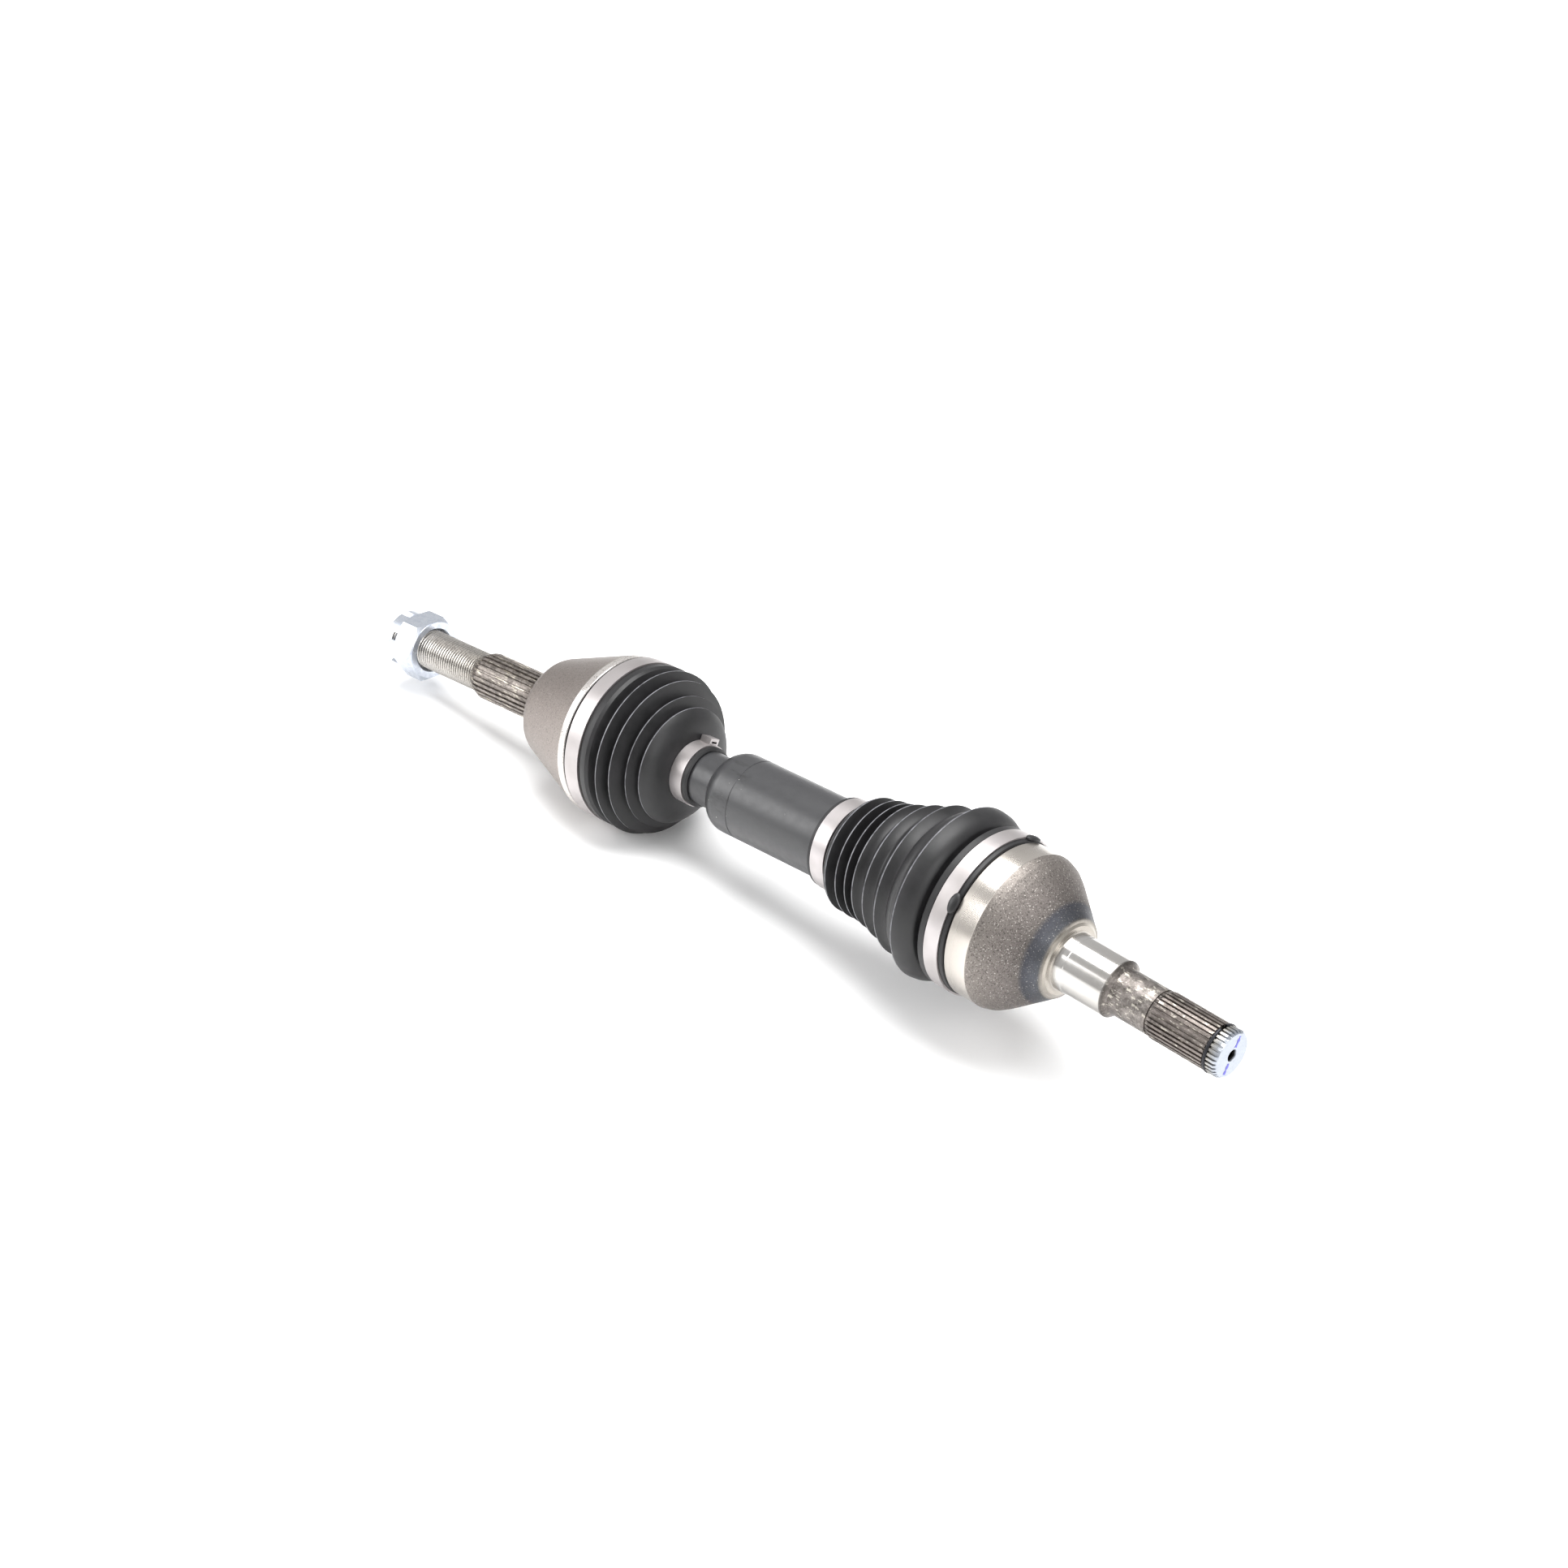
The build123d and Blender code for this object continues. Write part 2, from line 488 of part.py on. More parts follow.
def hub_nut():
    """Castellated hexagon nut, crown outboard."""
    corner_r = NUT_FLATS / sqrt(3)
    prism = extrude(RegularPolygon(corner_r, 6), NUT_HEX_L)
    hexagon = Location((NUT_FACE - NUT_HEX_L, 0, 0)) * spoke(30) * Rotation(0, 90, 0) * prism
    face_r = NUT_FLATS / 2 - 0.3
    top_x = NUT_FACE - NUT_HEX_L
    trim = turned([
        (top_x, 0), (top_x, face_r), (top_x + 1.6, corner_r + 0.1), (NUT_FACE - 2.2, corner_r + 0.1),
        (NUT_FACE - 0.6, face_r), (NUT_FACE, face_r), (NUT_FACE, 0),
    ])
    crown = ring(NUT_FACE - NUT_L, top_x, 0, NUT_CROWN_R)
    nut = (hexagon & trim) + crown
    slot_x = NUT_FACE - NUT_L + (NUT_CROWN_L - 0.8) / 2
    slot_h = 2 * (NUT_CROWN_R - THREAD_R + 1)
    slot = Location((slot_x, NUT_CROWN_R, 0)) * Box(NUT_CROWN_L - 0.8, slot_h, NUT_SLOT_W)
    for i in range(6):
        nut -= spoke(60 * i + 30) * slot
    bore_r = THREAD_R + NUT_GAP
    sink = 1.8
    bore = turned([
        (NUT_FACE + 1, 0), (NUT_FACE + 1, bore_r + sink),
        (NUT_FACE, bore_r + sink), (NUT_FACE - sink, bore_r),
        (NUT_FACE - NUT_L - 1, bore_r), (NUT_FACE - NUT_L - 1, 0),
    ])
    return HUB * (nut - bore)


# ---------------------------------------------------------------- clamps
def clamp(span, bore_r, side, ear_angle, ear_h):
    """A one-ear band about X. side is +1 where the bar lies on the joint's +X side."""
    x0, x1 = sorted((side * span[0], side * span[1]))
    band = ring(x0, x1, bore_r, bore_r + CLAMP_WALL)
    middle = (x0 + x1) / 2
    width = (x1 - x0) * 0.82
    outer = Box(width, ear_h + CLAMP_WALL, 7.0)
    ear = Location((middle, bore_r + (ear_h + CLAMP_WALL) / 2, 0)) * outer
    slot = Location((middle, bore_r + CLAMP_WALL + (ear_h - CLAMP_WALL) / 2, 0)) * Box(
        2 * width, ear_h - 2 * CLAMP_WALL, 4.2)
    keep = turned([(x0 - 5, bore_r), (x1 + 5, bore_r), (x1 + 5, bore_r + 20), (x0 - 5, bore_r + 20)])
    return band + spoke(ear_angle) * ((ear & keep) - slot)


def outer_boot_large_clamp():
    return HUB * clamp(OUTER_LARGE_CLAMP, BELL_SEAT_R + OUTER_CUFF + 2 * RUN_GAP, 1, EAR_ANGLE, EAR_H)


def outer_boot_small_clamp():
    bore_r = SHAFT_SEAT_R + OUTER_NECK_CUFF + 2 * RUN_GAP
    return BALL_CENTRE * clamp(OUTER_SMALL_CLAMP, bore_r, 1, TAIL_ANGLE, EAR_H)


def inner_boot_large_clamp():
    c = Location((-INNER_CENTRE_X, 0, 0))
    bore_r = TULIP_SEAT_R + INNER_CUFF + 2 * RUN_GAP
    return GEARBOX * c * clamp(INNER_LARGE_CLAMP, bore_r, -1, EAR_ANGLE, EAR_H)


def inner_boot_small_clamp():
    return BAR * clamp(INNER_SMALL_CLAMP, TUBE_R + INNER_NECK_CUFF + 2 * RUN_GAP, -1, EAR_ANGLE, EAR_H)


# ---------------------------------------------------------------- boots
def fold_sections(folds):
    """Crests with the low point halfway to the next one, as (distance, radius)."""
    sections = []
    for here, after in zip(folds, folds[1:]):
        sections.append((here[0], here[1]))
        sections.append(((here[0] + after[0]) / 2, (here[1] + after[1]) / 2 - here[2]))
    sections.append((folds[-1][0], folds[-1][1]))
    return sections


def boot(place, side, bend, lip, large, small, end, folds, seat_r, cuff, neck_r, neck_cuff, tail):
    """A bellows: circles along a line that turns from the housing's axis to the bar's, lofted, hollowed."""
    outer = [(lip, seat_r + RUN_GAP + cuff), (large[1] + 0.8, seat_r + RUN_GAP + cuff)]
    outer += fold_sections(folds) + tail
    outer += [(small[0] - 0.8, neck_r + RUN_GAP + neck_cuff), (end, neck_r + RUN_GAP + neck_cuff)]
    inner = [(lip - 1, seat_r + RUN_GAP), (large[1] + 0.8, seat_r + RUN_GAP)]
    inner += [(d, r - BOOT_WALL) for d, r in fold_sections(folds) + tail]
    inner += [(small[0] - 0.8, neck_r + RUN_GAP), (end + 1, neck_r + RUN_GAP)]
    straight_from, straight_to = large[1], small[0]

    def circle_at(d, r):
        share = min(1.0, max(0.0, (straight_to - d) / (straight_to - straight_from)))
        turn = radians(bend * share * share * (3 - 2 * share))
        direction = Vector(side * cos(turn), 0, -side * sin(turn))
        return Plane(direction * d, x_dir=(0, 1, 0), z_dir=direction) * Circle(r)

    shell = loft([circle_at(d, r) for d, r in outer], ruled=True)
    hollow = loft([circle_at(d, r) for d, r in inner], ruled=True)
    return place * (shell - hollow)


def outer_boot():
    tail = [(62.0, 31.0), (64.4, 24.5)]
    return boot(BALL_CENTRE, 1, -OUTER_BEND, BELL_LIP_X + 0.3, OUTER_LARGE_CLAMP, OUTER_SMALL_CLAMP,
                OUTER_BOOT_END, OUTER_FOLDS, BELL_SEAT_R, OUTER_CUFF, SHAFT_SEAT_R, OUTER_NECK_CUFF, tail)


def inner_boot():
    tail = [(109.0, 31.5), (111.5, 27.5)]
    return boot(BAR, -1, INNER_BEND, TULIP_LIP_X + 0.3, INNER_LARGE_CLAMP, INNER_SMALL_CLAMP, INNER_BOOT_END,
                INNER_FOLDS, TULIP_SEAT_R, INNER_CUFF, TUBE_R, INNER_NECK_CUFF, tail)


# ---------------------------------------------------------------- the whole axle
def build_nodes():
    nodes = {
        "inner_housing": inner_housing(), "stub_circlip": stub_circlip(),
        "tripod_stop_ring": tripod_stop_ring(),
        "inner_boot_large_clamp": inner_boot_large_clamp(), "inner_boot": inner_boot(),
        "inner_boot_small_clamp": inner_boot_small_clamp(),
        "tripod_spider": tripod_spider(), "spider_snap_ring": spider_snap_ring(),
        "trunnion_snap_rings": trunnion_snap_rings(),
        "shaft_inner_end": shaft_inner_end(), "shaft_tube": shaft_tube(),
        "shaft_outer_end": shaft_outer_end(), "outer_inner_race": outer_inner_race(),
        "race_snap_ring": race_snap_ring(), "outer_cage": outer_cage(),
        "outer_housing": outer_housing(), "outer_boot": outer_boot(),
        "outer_boot_large_clamp": outer_boot_large_clamp(),
        "outer_boot_small_clamp": outer_boot_small_clamp(),
        "hub_nut": hub_nut(),
    }
    for i in range(3):
        nodes[f"tripod_roller_{i + 1}"] = tripod_roller(i)
        nodes[f"needle_rollers_{i + 1}"] = needle_rollers(i)
    for i in range(BALLS):
        nodes[f"outer_ball_{i + 1}"] = outer_ball(i)
    return nodes


def main():
    os.makedirs("parts", exist_ok=True)
    for name, shape in build_nodes().items():
        export_step(shape, f"parts/{name}.step")


if __name__ == "__main__":
    main()
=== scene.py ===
# %% [markdown]
# # A front half-shaft
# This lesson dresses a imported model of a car's half-shaft. The steel pieces already have their true
# shape, so they get finishes only. The two rubber boots have to bend with the joints, so they are
# modelled here. All lengths below are millimetres until `mm` turns them to metres.

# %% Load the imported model
import bpy
import math
from mathutils import Matrix, Vector


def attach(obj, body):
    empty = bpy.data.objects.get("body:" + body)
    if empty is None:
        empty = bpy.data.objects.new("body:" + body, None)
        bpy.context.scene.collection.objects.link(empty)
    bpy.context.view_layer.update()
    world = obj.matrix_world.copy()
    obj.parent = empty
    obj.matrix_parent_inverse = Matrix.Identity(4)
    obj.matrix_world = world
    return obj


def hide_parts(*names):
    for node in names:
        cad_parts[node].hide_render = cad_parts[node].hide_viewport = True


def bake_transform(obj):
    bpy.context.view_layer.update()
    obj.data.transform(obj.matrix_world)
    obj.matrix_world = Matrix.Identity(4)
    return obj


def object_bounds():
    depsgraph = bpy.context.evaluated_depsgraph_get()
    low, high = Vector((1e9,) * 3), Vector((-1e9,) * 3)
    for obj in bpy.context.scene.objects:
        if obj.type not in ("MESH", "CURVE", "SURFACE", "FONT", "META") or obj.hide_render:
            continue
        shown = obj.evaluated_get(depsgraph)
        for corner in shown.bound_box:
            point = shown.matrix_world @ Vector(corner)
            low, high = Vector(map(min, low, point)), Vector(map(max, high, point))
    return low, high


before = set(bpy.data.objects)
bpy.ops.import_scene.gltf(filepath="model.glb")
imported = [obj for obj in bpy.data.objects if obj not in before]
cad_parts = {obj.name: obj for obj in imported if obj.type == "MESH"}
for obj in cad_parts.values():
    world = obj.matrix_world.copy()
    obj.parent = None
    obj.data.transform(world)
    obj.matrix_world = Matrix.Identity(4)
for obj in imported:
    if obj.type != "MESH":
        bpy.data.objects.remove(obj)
cad_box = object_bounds()


MM_PER_METRE = 1000.0


def mm(value):
    return value / MM_PER_METRE


# %% [markdown]
# ## Where things are
# The gearbox stub lies along +X. The bar hangs a little below it from the tripod's centre, and the
# wheel stub a little below the bar from the ball joint's centre. Each has a frame of its own, so that
# a length along a shaft is just x. A matrix per frame keeps every later cell free of trigonometry.

# %% Frames of the three shafts
INNER_CENTRE_X = -47.0
JOINT_SPAN = 309.0
INNER_BEND = 5.0
OUTER_BEND = 1.4


def droop(angle):
    """A turn about Y that lowers the wheel end."""
    return Matrix.Rotation(math.radians(-angle), 4, "Y")


GEARBOX = Matrix.Identity(4)
TRIPOD = Matrix.Translation((mm(INNER_CENTRE_X), 0, 0))
BAR = TRIPOD @ droop(INNER_BEND)
BALL_JOINT = BAR @ Matrix.Translation((mm(-JOINT_SPAN), 0, 0))
HUB = BALL_JOINT @ droop(OUTER_BEND)
print("ball joint centre:", [round(v, 4) for v in BALL_JOINT.translation])


# %% [markdown]
# ## Node helpers
# Every finish is built from nodes in code. One function adds a node, sets it and links it. Colours are
# written as the hex values a painter would pick on a screen, and one function makes them linear.
# `along` gives each point's length along a shaft in millimetres, which is how a finish can change
# from the turned band to the blasted cone to the polished journal, as it does on one real forging.

# %% Colour and node helpers
def paint(hex_colour):
    channels = [int(hex_colour[i:i + 2], 16) / 255 for i in (1, 3, 5)]
    linear = [c / 12.92 if c <= 0.04045 else ((c + 0.055) / 1.055) ** 2.4 for c in channels]
    return (*linear, 1.0)


def new_finish(name):
    finish = bpy.data.materials.new(name)
    finish.use_nodes = True
    shader = finish.node_tree.nodes["Principled BSDF"]
    return finish, shader


def add(finish, kind, settings=None, **links):
    """Adds one node. Its sockets are given by name, or by number as i0, i1 and so on: an output
    socket is linked to it, and anything else is set as its value."""
    node = finish.node_tree.nodes.new(kind)
    for key, value in (settings or {}).items():
        setattr(node, key, value)
    for key, value in links.items():
        numbered = key[0] == "i" and key[1:].isdigit()
        socket = node.inputs[int(key[1:]) if numbered else key.replace("_", " ")]
        if isinstance(value, bpy.types.NodeSocket):
            finish.node_tree.links.new(value, socket)
        else:
            socket.default_value = value
    return node


def wire(finish, output, shader, socket):
    finish.node_tree.links.new(output, shader.inputs[socket])


def maths(finish, operation, **values):
    return add(finish, "ShaderNodeMath", {"operation": operation}, **values).outputs[0]


def vector_maths(finish, operation, output, **values):
    return add(finish, "ShaderNodeVectorMath", {"operation": operation}, **values).outputs[output]


def times(finish, first, second):
    return maths(finish, "MULTIPLY", i0=first, i1=second)


def offset_and_axis(finish, place):
    """Every point's offset from a shaft's origin, and the shaft's own axis."""
    spot = add(finish, "ShaderNodeTexCoord").outputs["Object"]
    offset = vector_maths(finish, "SUBTRACT", "Vector", i0=spot, i1=place.translation)
    return offset, place.to_3x3() @ Vector((1, 0, 0))


def along(finish, place):
    """Length along a shaft's own axis, in millimetres, for every point of a piece."""
    offset, axis = offset_and_axis(finish, place)
    return times(finish, vector_maths(finish, "DOT_PRODUCT", "Value", i0=offset, i1=axis), MM_PER_METRE)


def distance_from_axis(finish, place):
    """Distance of every point from a shaft's own axis, in millimetres."""
    offset, axis = offset_and_axis(finish, place)
    crossed = vector_maths(finish, "CROSS_PRODUCT", "Vector", i0=offset, i1=axis)
    return times(finish, vector_maths(finish, "LENGTH", "Value", i0=crossed), MM_PER_METRE)


def bands(finish, length, low, high, stops, colours=True):
    """A ramp along a shaft. stops are (length in mm, value), and a close pair makes a hard edge."""
    share = add(finish, "ShaderNodeMapRange", None, Value=length, From_Min=low, From_Max=high).outputs[0]
    ramp = add(finish, "ShaderNodeValToRGB", None, Fac=share)
    points = ramp.color_ramp.elements
    while len(points) < len(stops):
        points.new(0.5)
    for point, (x, value) in zip(points, stops):
        point.position = (x - low) / (high - low)
        point.color = paint(value) if colours else (value, value, value, 1.0)
    return ramp.outputs["Color"]


def grain(finish, size_mm, detail=3.0, rough=0.6, stretch=None):
    """Noise whose blobs are about size_mm across, from 0 to 1."""
    spot = add(finish, "ShaderNodeTexCoord").outputs["Object"]
    if stretch:
        spot = add(finish, "ShaderNodeMapping", None, Vector=spot, Scale=stretch).outputs[0]
    noise = add(finish, "ShaderNodeTexNoise", None, Vector=spot, Scale=MM_PER_METRE / size_mm,
                Detail=detail, Roughness=rough)
    return noise.outputs["Fac"]


def turning_lines(finish, length, pitch_mm):
    """Fine rings left by a lathe tool, one each pitch_mm."""
    return maths(finish, "SINE", i0=times(finish, length, 2 * math.pi / pitch_mm))


def between(finish, value, low, high, to_low=0.0, to_high=1.0):
    """Maps low to to_low and high to to_high, and holds those values beyond them."""
    return add(finish, "ShaderNodeMapRange", None, Value=value, From_Min=low, From_Max=high,
               To_Min=to_low, To_Max=to_high).outputs[0]


def mix(finish, share, first, second, how="MIX"):
    node = add(finish, "ShaderNodeMix", {"data_type": "RGBA", "blend_type": how})
    for socket, value in ((node.inputs[0], share), (node.inputs[6], first), (node.inputs[7], second)):
        if isinstance(value, bpy.types.NodeSocket):
            finish.node_tree.links.new(value, socket)
        else:
            socket.default_value = value
    return node.outputs[2]


def flecks(finish, size_mm, cover, soft=0.04, detail=2.0):
    """Irregular spots about size_mm across, 1 inside and 0 outside. More cover gives more spots."""
    edge = 0.72 - 0.3 * cover
    return between(finish, grain(finish, size_mm, detail, 0.5), edge, edge + soft)


def relief(finish, shader, height, depth_mm, strength=1.0):
    bump = add(finish, "ShaderNodeBump", None, Height=height, Distance=mm(depth_mm), Strength=strength)
    wire(finish, bump.outputs[0], shader, "Normal")


def wear(finish, node):
    """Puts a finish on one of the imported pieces."""
    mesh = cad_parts[node].data
    mesh.materials.clear()
    mesh.materials.append(finish)


print("helpers ready")


# %% [markdown]
# ## Tripod housing
# One forging, seen in six states: the boot's turned seat, a shot-blasted cone, a dark ring where it
# was induction hardened, a narrow light collar, a ground seal journal, and a neck and spline mottled
# by heat treatment. It could be six materials, but one ramp along the axis keeps the edges exactly
# where the lathe left them.

# %% Finish: blasted and ground forging of the gearbox side
TULIP_SPAN = (-76, 102)
tulip, shader = new_finish("blasted_and_ground_forging")
x = along(tulip, GEARBOX)
tint = bands(tulip, x, *TULIP_SPAN, [
    (-76, "#77736e"), (-41.0, "#c4beb7"), (-40.6, "#847e79"), (-31, "#7b7571"), (-22, "#716b68"),
    (-17.6, "#67625f"), (-15.6, "#494a50"), (-9.4, "#505257"), (-8.6, "#5d5b59"), (-8.4, "#a19b92"),
    (-6.4, "#a8a29a"), (-6.2, "#c6c4c1"), (25.6, "#bdbab6"), (26.4, "#45413e"), (28.4, "#7a7470"),
    (50.0, "#8a8480"), (54.0, "#867f7b"), (60.0, "#776f6b"), (91.6, "#837b76"), (92.2, "#141312"),
    (94.2, "#141312"), (94.8, "#9c9993"), (101, "#aab0ba"),
])
blasted = bands(tulip, x, *TULIP_SPAN, [
    (-76, 0.0), (-41.0, 0.0), (-40.4, 1.0), (-17.0, 1.0), (-15.0, 0.45), (-8.6, 0.45), (-8.2, 0.15),
    (-6.2, 0.02), (25.6, 0.02), (26.4, 0.4), (29.0, 0.45), (54.0, 0.4), (92.0, 0.35), (94.6, 0.25),
    (101, 0.25),
], colours=False)
blotch = between(tulip, grain(tulip, 4.0, 5.0, 0.7), 0.40, 0.66)
forged = bands(tulip, x, *TULIP_SPAN, [
    (-76, 0.1), (-41.0, 0.02), (-40.0, 0.14), (-8.6, 0.2), (-8.2, 0.1), (-6.2, 0.03), (25.6, 0.03),
    (29.0, 0.75), (54.0, 0.75), (60, 0.6), (92.0, 0.45), (94.6, 0.1), (101, 0.1),
], colours=False)
tint = mix(tulip, times(tulip, blotch, forged), tint, paint("#33302b"))
dark_flecks = times(tulip, times(tulip, flecks(tulip, 0.9, 0.50), blasted), 0.50)
tint = mix(tulip, dark_flecks, tint, paint("#2b2826"))
light_flecks = times(tulip, times(tulip, flecks(tulip, 0.8, 0.30, 0.05), blasted), 0.45)
tint = mix(tulip, light_flecks, tint, paint("#e6e0da"))
scratch = between(tulip, grain(tulip, 2.6, 4.0, 0.7, (0.45, 1, 1)), 0.57, 0.62)
bright_marks = bands(tulip, x, *TULIP_SPAN, [
    (-76, 0.0), (25.6, 0.0), (29.0, 0.55), (54.0, 0.55), (60, 0.5), (92.0, 0.5), (94.6, 0.2),
    (101, 0.0),
], colours=False)
tint = mix(tulip, times(tulip, scratch, bright_marks), tint, paint("#ded8cb"))
from_axis = distance_from_axis(tulip, GEARBOX)
# The centre hole in the end face is painted near black: painted shade inside the hole.
centre_hole_painted_shade = times(tulip, between(tulip, from_axis, 3.6, 3.0), between(tulip, x, 96.0, 98.0))
tint = mix(tulip, centre_hole_painted_shade, tint, paint("#0c0c0d"))
wire(tulip, tint, shader, "Base Color")
rough = bands(tulip, x, *TULIP_SPAN, [
    (-76, 0.45), (-41.0, 0.20), (-40.4, 0.52), (-31, 0.58), (-16, 0.56), (-12, 0.44), (-8.6, 0.42),
    (-8.2, 0.30), (-6.4, 0.26), (-6.2, 0.13), (25.6, 0.15), (26.4, 0.40), (54.0, 0.44), (92.0, 0.40),
    (101, 0.3),
], colours=False)
wire(tulip, rough, shader, "Roughness")
shader.inputs["Metallic"].default_value = 0.9
blast_bumps = grain(tulip, 0.8, 2.0, 0.5)
rings = between(tulip, turning_lines(tulip, x, 0.6), -1, 1, 0.0, 0.10)
height = maths(tulip, "MULTIPLY_ADD", i0=blast_bumps, i1=blasted, i2=rings)
relief(tulip, shader, height, 0.14, 0.9)
wear(tulip, "inner_housing")
print("finished:", tulip.name)

# %% [markdown]
# ## Ball joint housing
# The same kind of forging, but machined nearly all over, so it is lighter and finer. Its wheel stub
# was left dark and mottled by its heat treatment, and bright on the rolled thread. The thread's grooves
# are darkened every two millimetres, in step with the modelled rings, as oil and painted shade in the
# roots.

# %% Finish: fine-turned forging of the wheel side
BELL_SPAN = (-190, 22)
THREAD_PITCH = 2.0
THREAD_PHASE = 111.7
bell, shader = new_finish("fine_turned_forging")
x = along(bell, HUB)
tint = bands(bell, x, *BELL_SPAN, [
    (-190, "#c8c6c3"), (-111.6, "#bdb9b3"), (-111.0, "#6c655f"), (-107, "#5a534e"), (-105.5, "#8b847f"),
    (-66, "#8c8580"), (-56.4, "#5c5652"), (-55.6, "#6c6560"), (-47, "#7a726d"), (-38, "#837b76"),
    (4.5, "#89817c"), (5.6, "#928b86"), (6.0, "#e4dfdb"), (9.6, "#e8e3df"), (10.0, "#26272a"),
    (22, "#26272a"),
])
# The thread roots are darkened each pitch: partly oil that settles there, partly painted shade.
from_start = maths(bell, "ADD", i0=x, i1=THREAD_PHASE)
oil_and_shade_in_grooves = between(bell, turning_lines(bell, from_start, THREAD_PITCH), -0.5, 0.9)
threaded = bands(bell, x, *BELL_SPAN, [
    (-190, 1.0), (-111.8, 1.0), (-111.4, 0.0), (22, 0.0),
], colours=False)
tint = mix(bell, times(bell, times(bell, oil_and_shade_in_grooves, threaded), 0.92), tint, paint("#1d1b1a"))
cloud = between(bell, grain(bell, 9.0, 4.0, 0.6), 0.35, 0.70)
tint = mix(bell, times(bell, cloud, 0.12), tint, paint("#6d615b"))
splined = bands(bell, x, *BELL_SPAN, [
    (-190, 0.0), (-111.4, 0.0), (-110.8, 1.0), (-56.0, 1.0), (-55.0, 0.3), (-44, 0.0), (22, 0.0),
], colours=False)
blotch = between(bell, grain(bell, 3.0, 5.0, 0.7), 0.42, 0.62)
tint = mix(bell, times(bell, times(bell, blotch, splined), 0.6), tint, paint("#2f2a25"))
scratch = between(bell, grain(bell, 1.2, 3.0, 0.7, (0.12, 1, 1)), 0.58, 0.65)
tint = mix(bell, times(bell, times(bell, scratch, splined), 0.7), tint, paint("#d9d2c2"))
tint = mix(bell, times(bell, flecks(bell, 0.9, 0.48), 0.42), tint, paint("#4a4441"))
tint = mix(bell, times(bell, flecks(bell, 0.7, 0.25), 0.25), tint, paint("#e6e0da"))
wire(bell, tint, shader, "Base Color")
rough = bands(bell, x, *BELL_SPAN, [
    (-190, 0.22), (-111.5, 0.24), (-111.0, 0.45), (-56.4, 0.42), (-55.6, 0.44), (-46, 0.46), (5.6, 0.44),
    (6.0, 0.24), (10.0, 0.24), (22, 0.4),
], colours=False)
wire(bell, rough, shader, "Roughness")
shader.inputs["Metallic"].default_value = 0.9
fine = between(bell, grain(bell, 0.6, 2.0, 0.5), 0, 1, 0, 0.8)
rings = between(bell, turning_lines(bell, x, 0.7), -1, 1, 0.0, 0.12)
height = maths(bell, "ADD", i0=fine, i1=rings)
relief(bell, shader, height, 0.07, 0.8)
wear(bell, "outer_housing")
print("finished:", bell.name)

# %% [markdown]
# ## Bar
# The bar is steel under sprayed satin black chassis paint. Paint is a dielectric, so its metallic is
# zero and the soft sheen comes from roughness alone. It is scuffed to grey near the shoulder, where
# it was handled, with a few chips that show bright metal.

# %% Finish: satin black chassis paint
black_paint, shader = new_finish("satin_black_chassis_paint")
x = along(black_paint, BAR)
BAR_SPAN = (-240, -100)
scuff_zone = bands(black_paint, x, *BAR_SPAN, [
    (-240, 0.15), (-216, 0.3), (-212, 1.0), (-190, 0.9), (-184, 0.15), (-125, 0.1), (-100, 0.1),
], colours=False)
scratches = between(black_paint, grain(black_paint, 6.0, 6.0, 0.75, (0.25, 1, 1)), 0.54, 0.66)
chips = between(black_paint, grain(black_paint, 1.6, 1.0, 0.4), 0.80, 0.82)
tint = mix(black_paint, times(black_paint, scratches, scuff_zone), paint("#2e2e30"), paint("#1b1b1c"))
chipped = times(black_paint, chips, times(black_paint, scuff_zone, 0.9))
tint = mix(black_paint, chipped, tint, paint("#c9c6c0"))
wire(black_paint, tint, shader, "Base Color")
flow = grain(black_paint, 4.0, 3.0, 0.5)
wire(black_paint, between(black_paint, flow, 0.3, 0.7, 0.36, 0.46), shader, "Roughness")
shader.inputs["IOR"].default_value = 1.5
shader.inputs["Coat Weight"].default_value = 0.25
shader.inputs["Coat Roughness"].default_value = 0.3
relief(black_paint, shader, grain(black_paint, 1.2, 3.0, 0.5), 0.05, 0.5)
for node in ("shaft_inner_end", "shaft_tube", "shaft_outer_end"):
    wear(black_paint, node)
print("finished:", black_paint.name)

# %% [markdown]
# ## Clamps, nut and small steel
# Band clamps are rolled stainless with faint lines round the band. The nut is zinc plated, which
# gives steel a pale blue cast. The snap rings are spring steel, blackened so that they don't rust.
# The balls, rollers and needles are ground and polished.

# %% Finish: rolled stainless band
band_steel, shader = new_finish("rolled_stainless_band")
x = along(band_steel, BAR)
soft = between(band_steel, grain(band_steel, 14.0, 2.0, 0.4), 0.3, 0.7)
wire(band_steel, mix(band_steel, soft, paint("#bab5b5"), paint("#a8a3a2")), shader, "Base Color")
shader.inputs["Metallic"].default_value = 0.85
wire(band_steel, between(band_steel, soft, 0, 1, 0.36, 0.42), shader, "Roughness")
rolled = between(band_steel, turning_lines(band_steel, x, 0.9), -1, 1)
relief(band_steel, shader, rolled, 0.01, 0.3)
for node in ("inner_boot_large_clamp", "inner_boot_small_clamp", "outer_boot_large_clamp",
             "outer_boot_small_clamp"):
    wear(band_steel, node)

# %% Finish: zinc plate
zinc, shader = new_finish("blue_zinc_plate")
patch = between(zinc, grain(zinc, 3.0, 4.0, 0.6), 0.35, 0.7)
wire(zinc, mix(zinc, patch, paint("#cdd2da"), paint("#b4bac6")), shader, "Base Color")
shader.inputs["Metallic"].default_value = 0.85
wire(zinc, between(zinc, patch, 0, 1, 0.26, 0.38), shader, "Roughness")
relief(zinc, shader, grain(zinc, 0.8, 2.0, 0.5), 0.04, 0.5)
wear(zinc, "hub_nut")

